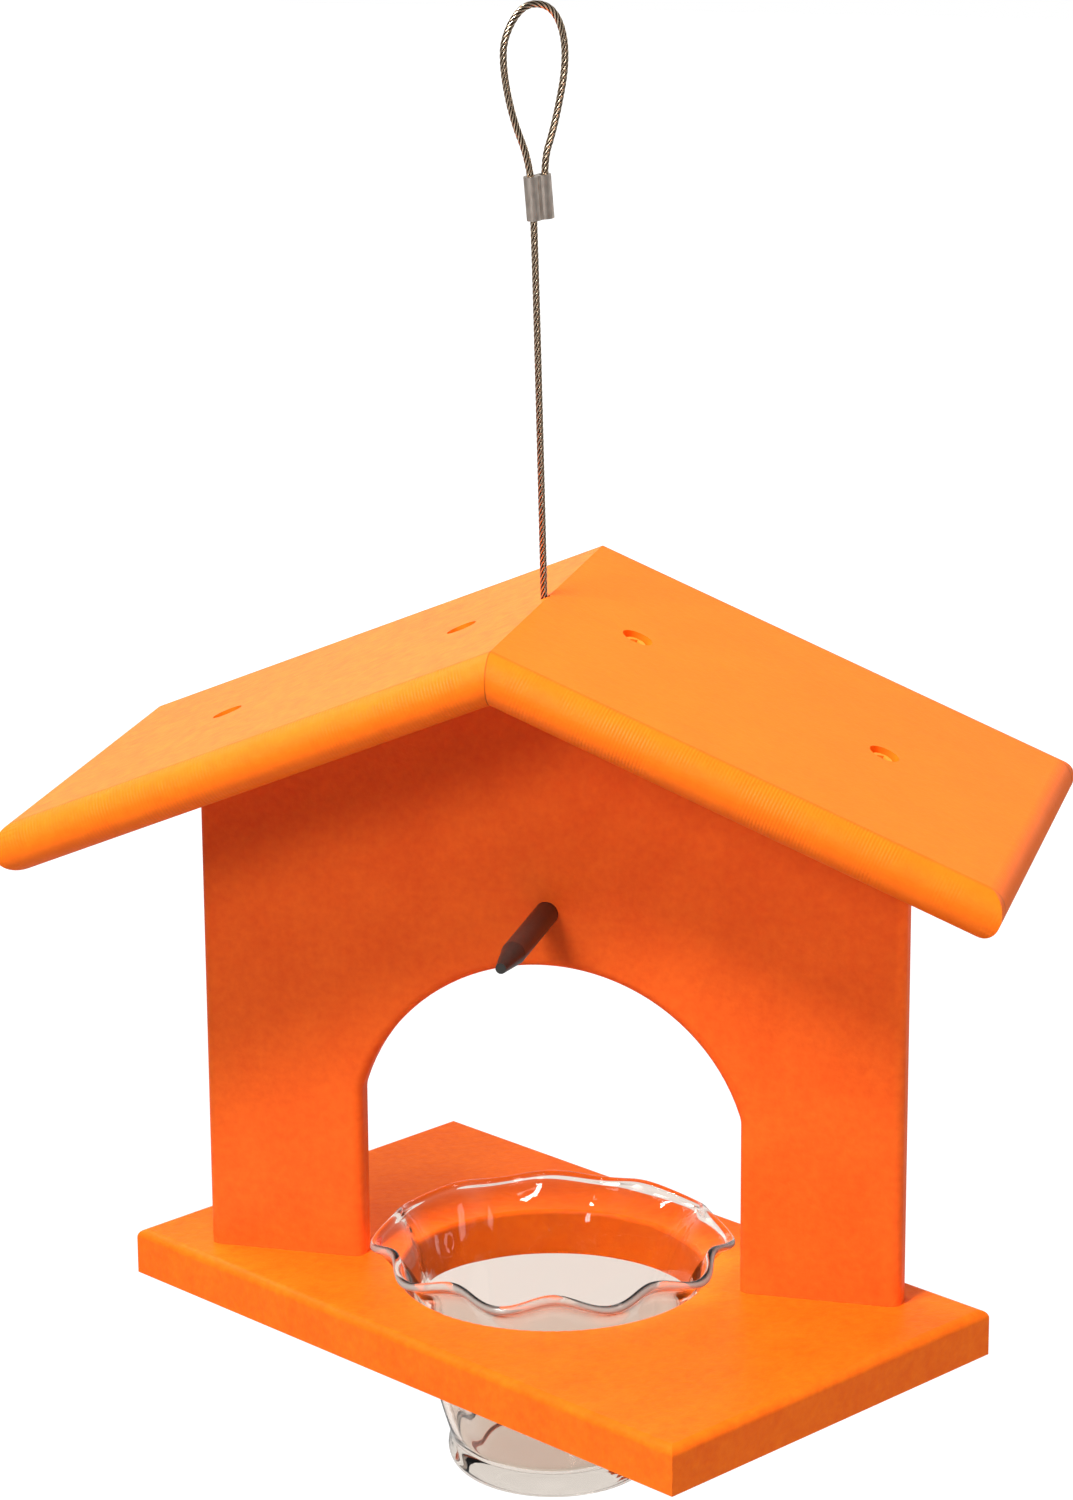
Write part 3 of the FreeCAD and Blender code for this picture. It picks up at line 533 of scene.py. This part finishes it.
def rope_steel():
    """stainless with a painted highlight on the strands' crowns, bright there, and painted shade
    in their grooves, darkening to brown
    """
    material, tree, shader = new_material("rope_steel")
    crown = add(tree, "ShaderNodeAttribute", attribute_name="crown")
    share = ramp(tree, crown.outputs["Fac"], 0.90, 0.99)
    tint = blend(tree, share, GROOVE_PAINTED_SHADE, CROWN_PAINTED_HIGHLIGHT)
    tree.links.new(tint, shader.inputs["Base Color"])
    shader.inputs["Metallic"].default_value = 1.0
    shader.inputs["Roughness"].default_value = 0.24
    return material


rope_line, rope_marks = even_line(nurbs_line("rope_route", ROPE_ROUTE), ROPE_STEP)
strands = np.stack([strand_tube(rope_line, rope_marks, 2 * np.pi * n / STRANDS)
                    for n in range(STRANDS)])
strand_faces = grid_faces(*strands.shape[1:3])
strand_size = strands.shape[1] * strands.shape[2]
rope_faces = np.vstack([strand_faces + n * strand_size for n in range(STRANDS)])
rope = mesh_piece("twisted_wire_rope", strands, rope_faces, rope_steel())
# how far each point stands out from the rope's middle, as a share of its radius
crowns = np.linalg.norm(strands - rope_line[None, None], axis=3) / (ROPE_DIAMETER / 2)
crown_share = rope.data.attributes.new("crown", "FLOAT", "POINT")
crown_share.data.foreach_set("value", crowns.ravel())
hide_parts("hanger_cable")
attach(rope, "root")


# Crimped sleeve and stop.
# Soft aluminium pressed round the rope: two barrels at the loop, and a plain ferrule hidden
# under the ridge that the roof rests on when the feeder hangs.
TARNISH_COLOUR = (0.24, 0.18, 0.14)
ALUMINIUM_COLOUR = (1.0, 0.90, 0.80)


def pressed_aluminium():
    """dull soft metal, dented and dragged by the crimping jaws, with tarnish in its hollows"""
    material, tree, shader = new_material("pressed_aluminium")
    place = add(tree, "ShaderNodeTexCoord")
    drawn = add(tree, "ShaderNodeMapping", {"Scale": (1.0, 1.0, 0.12)})
    join(tree, (place, "Object"), (drawn, "Vector"))
    drag = noise(tree, drawn.outputs["Vector"], 1600.0, 3.0)
    dents = noise(tree, place.outputs["Object"], 330.0, 1.0)
    bump_from(tree, shader, calc(tree, "MULTIPLY_ADD", drag, 0.15, dents), 0.5, 0.0004)
    share = calc(tree, "MULTIPLY_ADD", drag, 0.5, calc(tree, "MULTIPLY", dents, 0.5))
    tint = blend(tree, share, TARNISH_COLOUR, ALUMINIUM_COLOUR)
    tree.links.new(tint, shader.inputs["Base Color"])
    shader.inputs["Metallic"].default_value = 1.0
    shader.inputs["Roughness"].default_value = 0.38
    return material


aluminium = pressed_aluminium()
crimp = finish_node("crimp_sleeve", aluminium)
finish_node("stop_sleeve", aluminium)


# Studio.
# A white sweep behind and below, which the camera, glass and metal see, and a dimmer room in
# front that only shows in gloss. The feeder hangs well above a pale floor in soft light.
def seen_plainly(tree):
    """three sockets: 1 for rays from the camera, off gloss and through glass, and 0 for the
    light it sheds, also where that light comes to a matte face through the glass; 1 for rays
    off gloss alone; and 1 for rays through glass"""
    path = add(tree, "ShaderNodeLightPath").outputs
    through = path["Is Transmission Ray"]
    seen = calc(tree, "MAXIMUM", path["Is Camera Ray"], through)
    seen = calc(tree, "MAXIMUM", seen, path["Is Glossy Ray"])
    straight = calc(tree, "LESS_THAN", path["Diffuse Depth"], 0.5)
    off_gloss = calc(tree, "SUBTRACT", path["Is Glossy Ray"], through)
    return (calc(tree, "MULTIPLY", seen, straight), calc(tree, "MAXIMUM", off_gloss, 0.0),
            through)


ROOM_LIGHT = 0.16
GROUND_DROP = 300 * MM
GROUND_HALF = 6.0


world = bpy.data.worlds.new("white_room")
world.use_nodes = True
bpy.context.scene.world = world
room = world.node_tree
sky = next(n for n in room.nodes if n.type == "BACKGROUND")
room_seen, room_off_gloss, room_through = seen_plainly(room)
direction = add(room, "ShaderNodeTexCoord")
parts = add(room, "ShaderNodeSeparateXYZ")
sky_strength = add(room, "ShaderNodeMix", data_type="FLOAT")
sky_strength.inputs[2].default_value = ROOM_LIGHT
join(room, (direction, "Generated"), (parts, 0), (sky_strength, 0), (sky, "Strength"))
# darker as the ray turns from the sweep towards the front of the room, and up to its ceiling
sweep_gloss = calc(room, "MULTIPLY", ramp(room, parts.outputs["Y"], -0.6, 0.6, 0.1, 1.0),
                   ramp(room, parts.outputs["Z"], 0.0, 0.4, 1.15, 0.45))
off_gloss_loss = calc(room, "SUBTRACT", sweep_gloss, 1.0)
through_loss = ramp(room, parts.outputs["Y"], 0.2, 0.8, -0.88, 0.0)
sweep_level = calc(room, "MULTIPLY_ADD", room_off_gloss, off_gloss_loss, 1.0)
sweep_level = calc(room, "MULTIPLY_ADD", room_through, through_loss, sweep_level)
room.links.new(sweep_level, sky_strength.inputs[3])
room.links.new(room_seen, sky_strength.inputs[0])
sky.inputs["Color"].default_value = (1.0, 1.0, 1.0, 1)

ground_corners = [(x * GROUND_HALF, y * GROUND_HALF, CUP_BASE - GROUND_DROP)
                  for x, y in ((-1, -1), (1, -1), (1, 1), (-1, 1))]
ground_mesh = bpy.data.meshes.new("ground")
ground_mesh.from_pydata(ground_corners, [], [(0, 1, 2, 3)])
ground = bpy.data.objects.new("ground", ground_mesh)
bpy.context.scene.collection.objects.link(ground)
ground_paint, ground_tree, ground_shader = new_material("ground_paint")
ground_shader.inputs["Base Color"].default_value = (0.4, 0.4, 0.4, 1)
ground_shader.inputs["Roughness"].default_value = 0.9
ground_shader.inputs["Emission Color"].default_value = (1.0, 1.0, 1.0, 1)
ground_seen, ground_off_gloss, ground_through = seen_plainly(ground_tree)
ground_place = add(ground_tree, "ShaderNodeTexCoord")
ground_level = add(ground_tree, "ShaderNodeVectorMath", operation="MULTIPLY")
ground_level.inputs[1].default_value = (1.0, 1.0, 0.0)
ground_reach = add(ground_tree, "ShaderNodeVectorMath", operation="LENGTH")
join(ground_tree, (ground_place, "Object"), (ground_level, 0),
     (ground_level, "Vector"), (ground_reach, 0))
# the lamps already light the ground under the house, so its own glow grows with the distance
ground_rise = ramp(ground_tree, ground_reach.outputs["Value"], 0.4, 2.2, 0.52, 1.1)
in_gloss_share = ramp(ground_tree, ground_off_gloss, 0.0, 1.0, 1.0, 0.12)
through_share = ramp(ground_tree, ground_through, 0.0, 1.0, 1.0, 0.84)
ground_glow = calc(ground_tree, "MULTIPLY", ground_rise, in_gloss_share)
ground_glow = calc(ground_tree, "MULTIPLY", ground_glow, through_share)
ground_glow = calc(ground_tree, "MULTIPLY", ground_glow, ground_seen)
ground_tree.links.new(ground_glow, ground_shader.inputs["Emission Strength"])
ground_mesh.materials.append(ground_paint)

HOUSE_MIDDLE = Vector((HOUSE_X, 0.0, FLOOR_TOP + 100 * MM))


def soft_lamp(name, azimuth, elevation, distance, size, level, in_gloss=True):
    """square soft light that faces the house from a compass bearing and height; at level 1 it
    shows a colour as it is written; one that isn't in gloss lights matte colour alone"""
    light = bpy.data.lights.new(name, "AREA")
    light.size = size
    light.energy = level * (math.pi * distance) ** 2
    lamp = bpy.data.objects.new(name, light)
    a, e = math.radians(azimuth), math.radians(elevation)
    back = Vector((math.sin(a) * math.cos(e), -math.cos(a) * math.cos(e), math.sin(e)))
    lamp.location = HOUSE_MIDDLE + back * distance
    lamp.rotation_euler = (-back).to_track_quat("-Z", "Y").to_euler()
    lamp.visible_glossy = in_gloss
    bpy.context.scene.collection.objects.link(lamp)


soft_lamp("low_front_light", azimuth=-14, elevation=26, distance=1.3, size=0.32, level=0.36)
soft_lamp("high_front_light", azimuth=-24, elevation=54, distance=1.3, size=0.30, level=1.25)
soft_lamp("overhead_light", azimuth=10, elevation=84, distance=1.4, size=0.7, level=0.40,
          in_gloss=False)
soft_lamp("back_light", azimuth=-118, elevation=50, distance=1.4, size=0.8, level=0.78,
          in_gloss=False)
soft_lamp("right_light", azimuth=85, elevation=15, distance=1.4, size=0.5, level=0.36,
          in_gloss=False)


# Camera.
# Solved from the photograph: a long lens a little above the feeder and to its right. The yaw,
# pitch and roll turn it round a point on the house, which it stands 1.15 m away from.
FRAME_SHORT_SIDE = 1073
FRAME_LONG_SIDE = 1500
FOCAL_PIXELS = 4412.71
CENTRE_X, CENTRE_Y = 525.49, 749.41
YAW, PITCH, ROLL = (math.radians(angle) for angle in (14.79, 15.89, -0.42))
AIM = Vector((-6.53, 0.0, 144.51)) * MM
REACH = 1147.94 * MM
right = Vector((math.cos(YAW), math.sin(YAW), 0.0))
forward = Vector((-math.sin(YAW) * math.cos(PITCH), math.cos(YAW) * math.cos(PITCH),
                  -math.sin(PITCH)))
upward = right.cross(forward)
rolled_right = right * math.cos(ROLL) + upward * math.sin(ROLL)
rolled_up = upward * math.cos(ROLL) - right * math.sin(ROLL)
camera_data = bpy.data.cameras.new("camera")
camera_data.sensor_width = 36.0
camera_data.lens = FOCAL_PIXELS / FRAME_LONG_SIDE * camera_data.sensor_width
camera_data.shift_x = (FRAME_SHORT_SIDE / 2 - CENTRE_X) / FRAME_LONG_SIDE
camera_data.shift_y = (CENTRE_Y - FRAME_LONG_SIDE / 2) / FRAME_LONG_SIDE
camera_data.clip_start = 0.01
camera = bpy.data.objects.new("camera", camera_data)
bpy.context.scene.collection.objects.link(camera)
camera.matrix_world = Matrix((
    (rolled_right.x, rolled_up.x, -forward.x, 0),
    (rolled_right.y, rolled_up.y, -forward.y, 0),
    (rolled_right.z, rolled_up.z, -forward.z, 0),
    (0, 0, 0, 1)))
camera.location = AIM - forward * REACH + Vector((HOUSE_X, 0.0, FLOOR_TOP))
bpy.context.scene.camera = camera
bpy.context.scene.view_settings.view_transform = "Standard"
